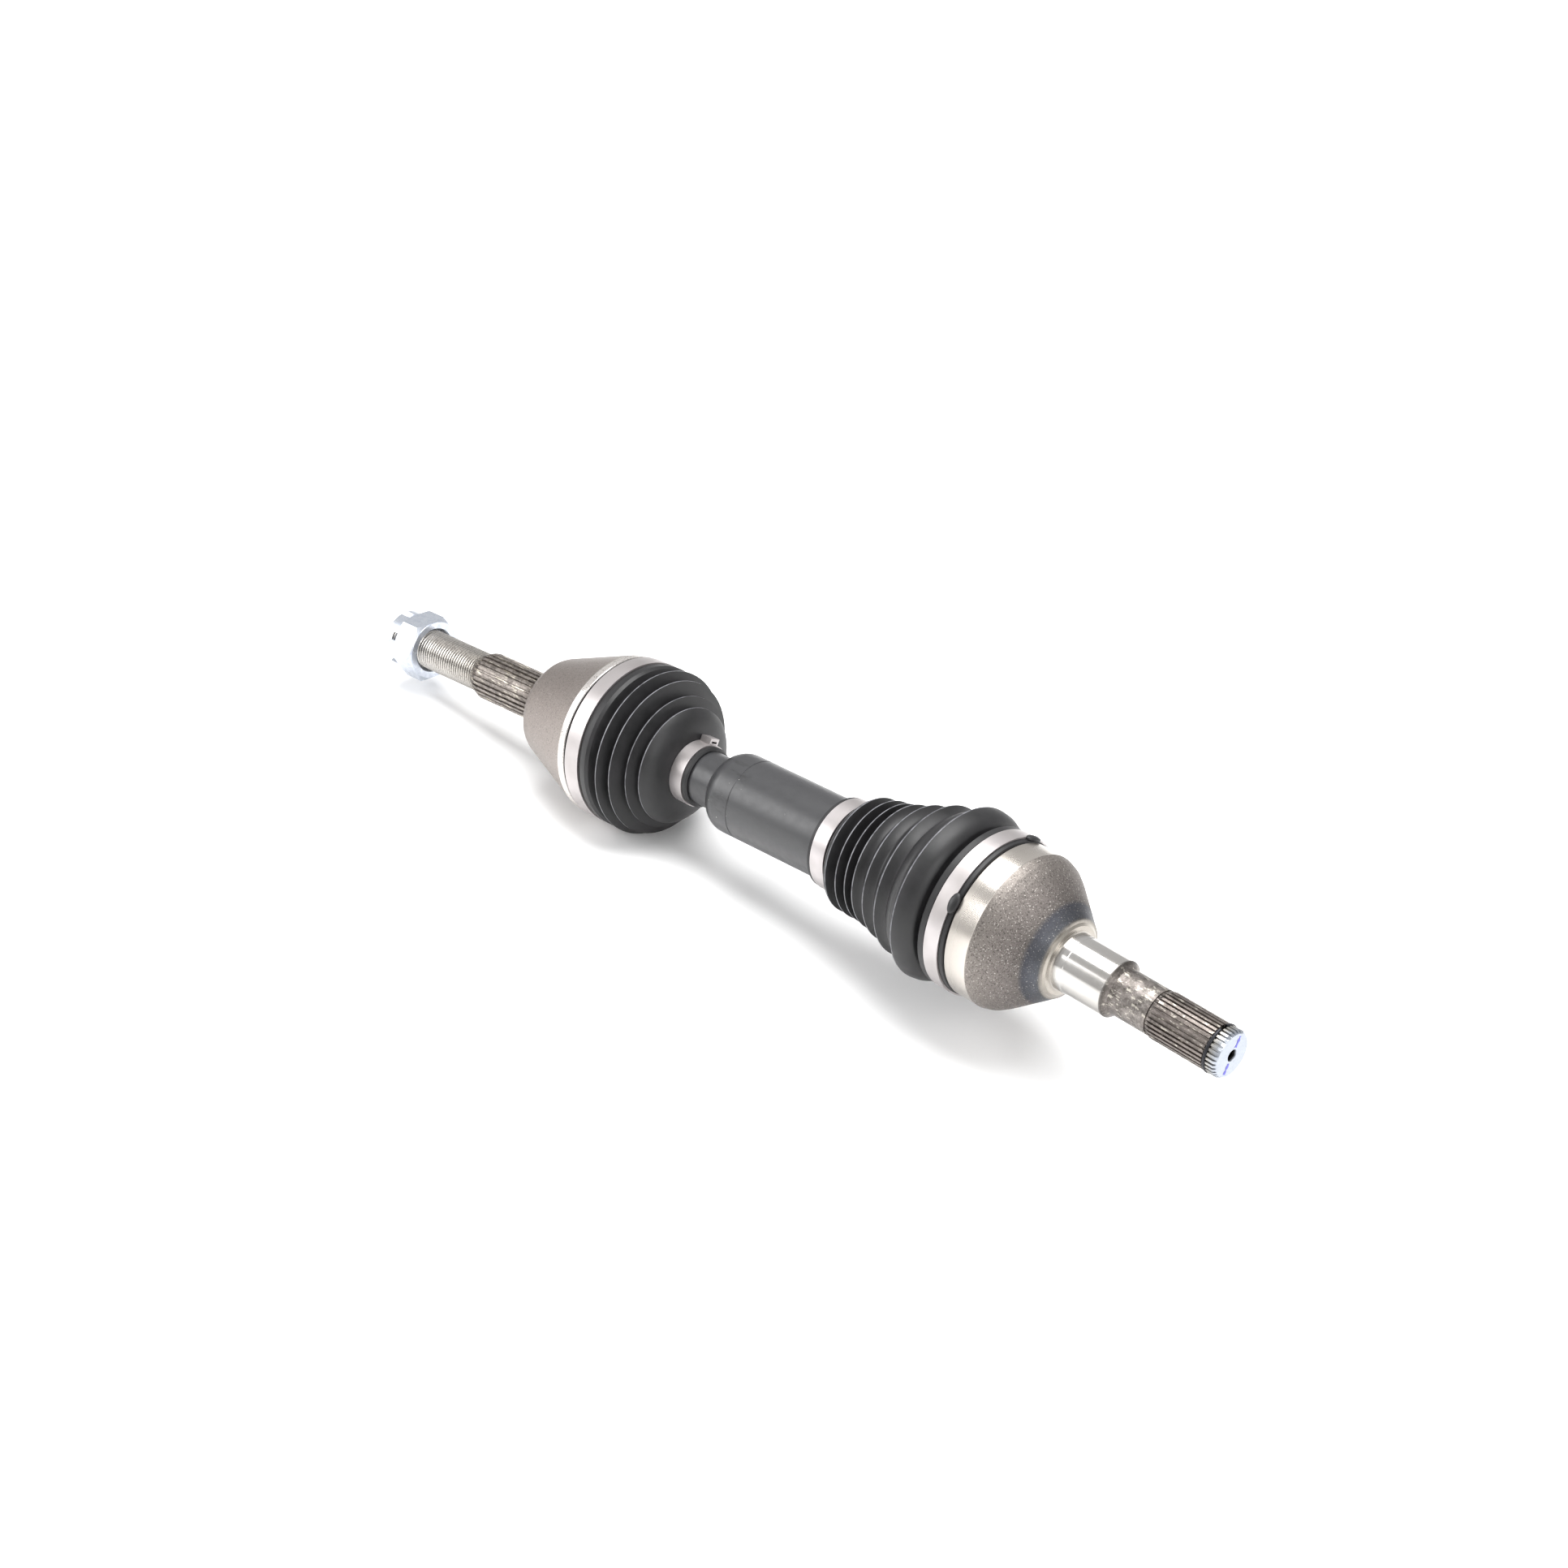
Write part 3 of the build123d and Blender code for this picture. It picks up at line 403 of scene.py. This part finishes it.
# %% Finish: blackened spring steel, and hidden bearing steels
spring, shader = new_finish("blackened_spring_steel")
tint = mix(spring, grain(spring, 1.5, 3.0), paint("#26262a"), paint("#3a3a3d"))
wire(spring, tint, shader, "Base Color")
shader.inputs["Metallic"].default_value = 0.8
shader.inputs["Roughness"].default_value = 0.4
relief(spring, shader, grain(spring, 0.6), 0.02, 0.5)
for node in ("stub_circlip", "tripod_stop_ring", "spider_snap_ring", "trunnion_snap_rings",
             "race_snap_ring"):
    wear(spring, node)

bearing, shader = new_finish("ground_bearing_steel")
tint = mix(bearing, grain(bearing, 4.0, 3.0), paint("#d0d0d1"), paint("#b6b5b3"))
wire(bearing, tint, shader, "Base Color")
shader.inputs["Metallic"].default_value = 1.0
shader.inputs["Roughness"].default_value = 0.12
balls = [f"outer_ball_{i}" for i in range(1, 7)]
rolling = [f"{kind}_{i}" for i in (1, 2, 3) for kind in ("tripod_roller", "needle_rollers")]
for node in balls + rolling:
    wear(bearing, node)

hardened, shader = new_finish("case_hardened_steel_with_grease")
tint = mix(hardened, grain(hardened, 5.0, 4.0), paint("#6a6660"), paint("#4b463e"))
wire(hardened, tint, shader, "Base Color")
shader.inputs["Metallic"].default_value = 0.9
shader.inputs["Roughness"].default_value = 0.32
relief(hardened, shader, grain(hardened, 1.0), 0.03, 0.5)
for node in ("tripod_spider", "outer_inner_race", "outer_cage"):
    wear(hardened, node)
print("small steel finished")

# %% [markdown]
# ## Boots
# A boot is a moulded bellows. It could be a lathe-like surface with a bend modifier, but it has to
# follow the joints of the model, so it is built as rings on a line that turns from the housing's axis
# to the bar's. It is cut at the bottoms of its folds. Between two crests the skin sinks in a shallow
# scallop, and every crest ends in a narrow land with a grey painted highlight.

# %% Finish: moulded rubber
rubber, shader = new_finish("moulded_black_rubber")
bloom = between(rubber, grain(rubber, 12.0, 4.0, 0.6), 0.35, 0.7)
wire(rubber, mix(rubber, bloom, paint("#151516"), paint("#1d1c1e")), shader, "Base Color")
wire(rubber, between(rubber, bloom, 0, 1, 0.42, 0.54), shader, "Roughness")
shader.inputs["IOR"].default_value = 1.52
shader.inputs["Specular IOR Level"].default_value = 0.42
relief(rubber, shader, grain(rubber, 0.9, 3.0, 0.5), 0.04, 0.5)
print("finished:", rubber.name)

# The grey on the crest lands is a painted highlight, standing in for the light that catches each crest.
crest_highlight, shader = new_finish("rubber_with_painted_highlight_at_the_crests")
highlight_blotch = between(crest_highlight, grain(crest_highlight, 5.0, 4.0, 0.6), 0.4, 0.65)
wire(crest_highlight, mix(crest_highlight, highlight_blotch, paint("#6b6b70"), paint("#3c3c40")), shader, "Base Color")
shader.inputs["Roughness"].default_value = 0.42
shader.inputs["IOR"].default_value = 1.52
relief(crest_highlight, shader, grain(crest_highlight, 0.9, 3.0, 0.5), 0.03, 0.5)
print("finished:", crest_highlight.name)


# %% Boot builder
RING_POINTS = 96
BOOT_WALL = 2.2
FULL_WALL_R = 24
CREST_LAND = 0.35
SCALLOP = 1.6
SHARP_EDGE = 32


def fold_curve(knots, steps=10, land=CREST_LAND):
    """Points (distance, radius, is_land) along a boot. A knot is (distance, radius, kind): a crest has
    a narrow land, a valley is round, and corners are joined by straight lines."""
    curve = [(*knots[0][:2], False)]
    for (d0, r0, kind0), (d1, r1, kind1) in zip(knots, knots[1:]):
        d0 += land if kind0 == "crest" else 0
        d1 -= land if kind1 == "crest" else 0
        count = 1 if "valley" not in (kind0, kind1) else steps
        for i in range(1, count + 1):
            t = i / count
            share = t
            if kind0 == "valley":
                share = t ** SCALLOP
            elif kind1 == "valley":
                share = 1 - (1 - t) ** SCALLOP
            curve.append((d0 + (d1 - d0) * t, r0 + (r1 - r0) * share, False))
        if kind1 == "crest":
            curve.append((d1 + 2 * land, r1, True))
    return curve


def boot_ring(place, side, bend, turn_from, turn_to, distance, radius, points=RING_POINTS):
    """One ring of a boot in the row frame. The line it stands on turns by bend degrees, smoothly, from
    distance turn_to down to turn_from."""
    share = min(1.0, max(0.0, (turn_to - distance) / (turn_to - turn_from)))
    turn = math.radians(bend * share * share * (3 - 2 * share))
    out = Vector((side * math.cos(turn), 0, -side * math.sin(turn)))
    across = Vector((0, 1, 0))
    up = out.cross(across)
    ring = []
    for a in (2 * math.pi * i / points for i in range(points)):
        spot = out * distance + across * radius * math.cos(a) + up * radius * math.sin(a)
        ring.append(place @ Vector([mm(v) for v in spot]))
    return ring


def tube_mesh(name, loops, lands):
    """A closed ring-shaped skin through loops of points. Bands that end at a loop in lands get the painted
    crest highlight.
    """
    count = len(loops[0])
    points = [p for loop in loops for p in loop]
    faces = []
    for k in range(len(loops)):
        a, b = k * count, ((k + 1) % len(loops)) * count
        faces += [(a + i, a + (i + 1) % count, b + (i + 1) % count, b + i) for i in range(count)]
    mesh = bpy.data.meshes.new(name)
    mesh.from_pydata(points, [], faces)
    mesh.materials.append(rubber)
    # The second finish is the painted highlight on the crest lands.
    mesh.materials.append(crest_highlight)
    for i, polygon in enumerate(mesh.polygons):
        polygon.use_smooth = True
        polygon.material_index = 1 if i // count + 1 in lands else 0
    mesh.set_sharp_from_angle(angle=math.radians(SHARP_EDGE))
    piece = bpy.data.objects.new(name, mesh)
    bpy.context.collection.objects.link(piece)
    return piece


def boot_piece(name, spec, knots):
    outside = fold_curve(knots)
    loops = [boot_ring(*spec, d, r) for d, r, _ in outside]
    loops += [boot_ring(*spec, d, r - BOOT_WALL * min(1.0, r / FULL_WALL_R))
              for d, r, _ in reversed(outside)]
    return tube_mesh(name, loops, {k for k, (_, _, land) in enumerate(outside) if land})


print("boot builder ready")

# %% [markdown]
# ### Outer boot
# It is short and steep: a broad shoulder beside the cuff, four folds, and a smooth dome down to its
# neck. Its large cuff has a lip that shows as a dark line beside the clamp.

# %% Outer boot in four lengths
# Where a boot starts, which way it runs, how far it bends, and where the bend begins and ends.
OUTER = (BALL_JOINT, 1, -OUTER_BEND, 22.6, 66.4)
SEAT_GAP = 0.3
OUTER_SEAT_R, OUTER_CUFF_WALL = 44.2, 3.1
cuff_r = OUTER_SEAT_R + SEAT_GAP + OUTER_CUFF_WALL
V, C, K = "valley", "crest", "corner"
outer_lengths = {
    "outer_boot_cuff": [(10.6, 47.2, K), (11.4, 48.3, K), (12.2, cuff_r + 0.4, K), (12.4, cuff_r, K),
                        (22.4, cuff_r, K), (23.2, cuff_r + 0.6, K), (26.0, 48.9, K), (28.6, 49.0, K),
                        (30.4, 47.8, K), (34.4, 41.0, V)],
    "outer_boot_first_fold": [(34.4, 41.0, V), (38.0, 49.2, C), (42.2, 39.0, V)],
    "outer_boot_second_fold": [(42.2, 39.0, V), (45.6, 46.1, C), (49.4, 35.0, V)],
    "outer_boot_neck": [(49.4, 35.0, V), (52.4, 39.6, C), (55.6, 31.2, V), (58.3, 34.9, C), (60.4, 33.4, K),
                        (62.4, 30.6, K), (64.0, 27.0, K), (65.2, 23.0, K), (65.8, 19.6, K), (66.4, 17.2, K),
                        (75.6, 17.2, K), (75.9, 18.0, K), (78.2, 18.0, K), (79.0, 17.0, K)],
}
outer_chain = ["outer_housing", "far_ball", "cage", "near_ball", "axle_bar"]
outer_bend_spans = [(24.5, 34.4), (34.4, 42.2), (42.2, 49.4), (49.4, 62.0)]
for (name, knots), a, b, (d0, d1) in zip(outer_lengths.items(), outer_chain, outer_chain[1:],
                                         outer_bend_spans):
    piece = boot_piece(name, OUTER, knots)
    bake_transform(piece)
    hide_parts("outer_boot")
    print(name, "bends across", a, "and", b)

# %% [markdown]
# ### Inner boot
# It is longer and finer: three tight folds at the bar, then wider ones that grow towards the housing,
# and one big bulge before its cuff.

# %% Inner boot in three lengths
INNER = (BAR, -1, INNER_BEND, 21.5, 114.2)
INNER_SEAT_R, INNER_CUFF_WALL = 41.8, 3.5
cuff_r = INNER_SEAT_R + SEAT_GAP + INNER_CUFF_WALL
inner_lengths = {
    "inner_boot_cuff": [(8.9, 44.2, K), (9.6, 45.6, K), (11.5, 46.0, K), (11.8, cuff_r, K),
                        (21.7, cuff_r, K), (22.2, 46.6, K), (25.6, 46.8, K), (26.4, 46.0, K),
                        (28.0, 40.8, V), (30.4, 45.0, K), (33.4, 48.4, K), (37.4, 50.2, K),
                        (41.6, 50.7, C), (46.8, 46.0, V), (53.6, 41.6, V)],
    "inner_boot_middle": [(53.6, 41.6, V), (59.6, 44.4, C), (67.0, 37.0, V), (72.2, 40.0, C),
                          (78.4, 33.2, V)],
    "inner_boot_neck": [(78.4, 33.2, V), (83.0, 36.8, C), (86.8, 27.6, V), (90.0, 35.2, C),
                        (94.0, 27.0, V), (97.4, 34.6, C), (101.4, 26.8, V), (106.0, 33.6, C),
                        (108.4, 32.4, K), (110.8, 29.6, K), (112.6, 26.8, K), (114.0, 25.7, K),
                        (124.2, 25.7, K), (124.5, 26.6, K), (126.2, 26.6, K), (127.0, 25.4, K)],
}
inner_chain = ["inner_housing", "inner_boot", "lead_roller", "axle_bar"]
inner_bend_spans = [(28.0, 53.6), (53.6, 78.4), (78.4, 106.0)]
for (name, knots), a, b, (d0, d1) in zip(inner_lengths.items(), inner_chain, inner_chain[1:],
                                         inner_bend_spans):
    piece = boot_piece(name, INNER, knots)
    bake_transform(piece)
    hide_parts("inner_boot")
    print(name, "bends across", a, "and", b)

# %% [markdown]
# ## Small things that tell the real one
# The inner boot has three moulded tabs beside its large clamp. The gearbox stub's end face carries a
# line of violet marking paint.

# %% Locating tabs of the inner boot
TAB_SIDES = 24
TAB_ROWS = 7
TAB_ROOT = -0.8


def rounded_tab(name, place, x, radius, angle, length, width, height):
    """A low domed button on a cylinder about the place's X axis, with its root sunk in the rubber."""
    rows = []
    for i in range(TAB_ROWS):
        t = math.radians(90 * i / (TAB_ROWS - 1))
        rows.append([(x + 0.5 * length * math.cos(t) * math.cos(a),
                      0.5 * width * math.cos(t) * math.sin(a),
                      height * math.sin(t))
                     for a in (2 * math.pi * k / TAB_SIDES for k in range(TAB_SIDES))])
    points = []
    for row in [[(px, py, TAB_ROOT) for px, py, _ in rows[0]]] + rows:
        for px, py, pz in row:
            a = math.radians(angle) + py / radius
            out = radius + pz
            points.append(place @ Vector((mm(px), mm(out * math.cos(a)), mm(out * math.sin(a)))))
    faces = []
    for low, high in ((r * TAB_SIDES, (r + 1) * TAB_SIDES) for r in range(TAB_ROWS)):
        for k in range(TAB_SIDES):
            following = (k + 1) % TAB_SIDES
            faces.append((low + k, low + following, high + following, high + k))
    mesh = bpy.data.meshes.new(name)
    mesh.from_pydata(points, [], faces)
    for polygon in mesh.polygons:
        polygon.use_smooth = True
    mesh.materials.append(rubber)
    piece = bpy.data.objects.new(name, mesh)
    bpy.context.collection.objects.link(piece)
    return piece


TAB_X, TAB_R = -11.0, 46.9
TAB_SIZE = (6.0, 12.0, 1.3)
TAB_ANGLES = (145, 61, -77)
for i, angle in enumerate(TAB_ANGLES):
    tab = rounded_tab(f"inner_boot_tab_{i + 1}", TRIPOD, TAB_X, TAB_R, angle, *TAB_SIZE)
    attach(tab, "inner_housing")
print("three tabs")

# %% Marking paint on the end face
marking, shader = new_finish("violet_marking_paint")
tint = mix(marking, grain(marking, 1.2, 3.0), paint("#4a46b8"), paint("#6d6ac4"))
wire(marking, tint, shader, "Base Color")
shader.inputs["Roughness"].default_value = 0.5
relief(marking, shader, grain(marking, 0.6), 0.02, 0.5)
FACE_X = 100.95
LINE_REACH = 11.0
LINE_STEPS = 24
HOLE_EDGE = 4.2
LINE_ANGLE = 64
stations = []
for i in range(LINE_STEPS + 1):
    t = -LINE_REACH + 2 * LINE_REACH * i / LINE_STEPS
    uneven_width = 0.85 + 0.35 * math.sin(t * 1.7) + 0.2 * math.sin(t * 4.1 + 1)
    stations.append((t, uneven_width))
spots = [(t, w) for t, w in stations if abs(t) > HOLE_EDGE]
mesh = bpy.data.meshes.new("end_face_paint_line")
points, faces = [], []
direction = math.radians(LINE_ANGLE)
for t, w in spots:
    for x_out in (FACE_X - 0.03, FACE_X + 0.05):
        for s in (-w, w):
            y = t * math.cos(direction) - s * math.sin(direction)
            z = t * math.sin(direction) + s * math.cos(direction)
            points.append((mm(x_out), mm(y), mm(z)))
for i, ((t0, _), (t1, _)) in enumerate(zip(spots, spots[1:])):
    if t1 - t0 < 2:
        a, b = 4 * i, 4 * i + 4
        faces += [(a + 2, a + 3, b + 3, b + 2), (a, b, b + 1, a + 1),
                  (a, a + 2, b + 2, b), (a + 1, b + 1, b + 3, a + 3)]
mesh.from_pydata(points, [], faces)
mesh.materials.append(marking)
line = bpy.data.objects.new("end_face_paint_line", mesh)
bpy.context.collection.objects.link(line)
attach(line, "inner_housing")
print("paint line:", len(spots), "stations")

# %% [markdown]
# ## Studio
# A plain white floor, a broad overhead light, a weaker one on each side, and white all round, as for
# a parts catalogue. Polished steel shows what it mirrors, so the white room keeps it bright. The two
# side lights differ in strength, so that round pieces aren't lit evenly.

# %% Floor
backdrop, shader = new_finish("white_sweep")
shader.inputs["Base Color"].default_value = paint("#fdfdfd")
shader.inputs["Roughness"].default_value = 0.9
FLOOR_REACH = 9
FLOOR_GAP = 0.0005
low = cad_box[0][2]
corners = ((-1, -1), (1, -1), (1, 1), (-1, 1))
mesh = bpy.data.meshes.new("floor")
mesh.from_pydata([(FLOOR_REACH * x, FLOOR_REACH * y, low - FLOOR_GAP) for x, y in corners], [],
                 [(0, 1, 2, 3)])
mesh.materials.append(backdrop)
floor = bpy.data.objects.new("floor", mesh)
bpy.context.collection.objects.link(floor)
print("floor at", round(low, 4))


# %% Lights and surroundings
def soft_box(name, watts, size, spot, target):
    lamp = bpy.data.lights.new(name, "AREA")
    lamp.shape = "RECTANGLE"
    lamp.size, lamp.size_y = size
    lamp.energy = watts
    lit = bpy.data.objects.new(name, lamp)
    lit.location = spot
    lit.rotation_euler = (Vector(target) - Vector(spot)).to_track_quat("-Z", "Y").to_euler()
    bpy.context.collection.objects.link(lit)


ROOM_BRIGHTNESS = 0.62
middle = (-0.2, 0, -0.02)
soft_box("overhead_box", 44, (1.6, 1.2), (-0.2, 0.1, 1.5), middle)
soft_box("left_box", 16, (1.0, 1.0), (-1.5, -1.0, 0.7), middle)
soft_box("right_box", 10, (0.8, 0.8), (1.4, -0.4, 0.8), middle)
world = bpy.data.worlds.new("white_room")
bpy.context.scene.world = world
world.use_nodes = True
world.node_tree.nodes["Background"].inputs["Color"].default_value = (1, 1, 1, 1)
world.node_tree.nodes["Background"].inputs["Strength"].default_value = ROOM_BRIGHTNESS
bpy.context.scene.view_settings.view_transform = "Standard"

# %% [markdown]
# ## Camera
# A long lens about two metres away, above and to the right, rolled a few degrees because the axle lay
# a little askew. The roll is part of the camera's matrix, so it needs no shift.

# %% Camera
AZIMUTH, ELEVATION, ROLL = 42.36, 32.86, 4.09
EYE = (0.92688, -1.25537, 1.10238)
LENS_MM, SENSOR_MM = 83.85, 36.0
a, e, r = (math.radians(v) for v in (AZIMUTH, ELEVATION, ROLL))
back = Vector((math.sin(a) * math.cos(e), -math.cos(a) * math.cos(e), math.sin(e)))
right = Vector((0, 0, 1)).cross(back).normalized()
up = back.cross(right)
right, up = right * math.cos(r) + up * math.sin(r), up * math.cos(r) - right * math.sin(r)
lens = bpy.data.cameras.new("catalogue_camera")
lens.sensor_width = SENSOR_MM
lens.lens = LENS_MM
lens.clip_start, lens.clip_end = 0.05, 50
camera = bpy.data.objects.new("catalogue_camera", lens)
bpy.context.collection.objects.link(camera)
camera.matrix_world = Matrix.Translation(EYE) @ Matrix((right, up, back)).transposed().to_4x4()
bpy.context.scene.camera = camera
print("camera looks along", [round(-v, 3) for v in back])
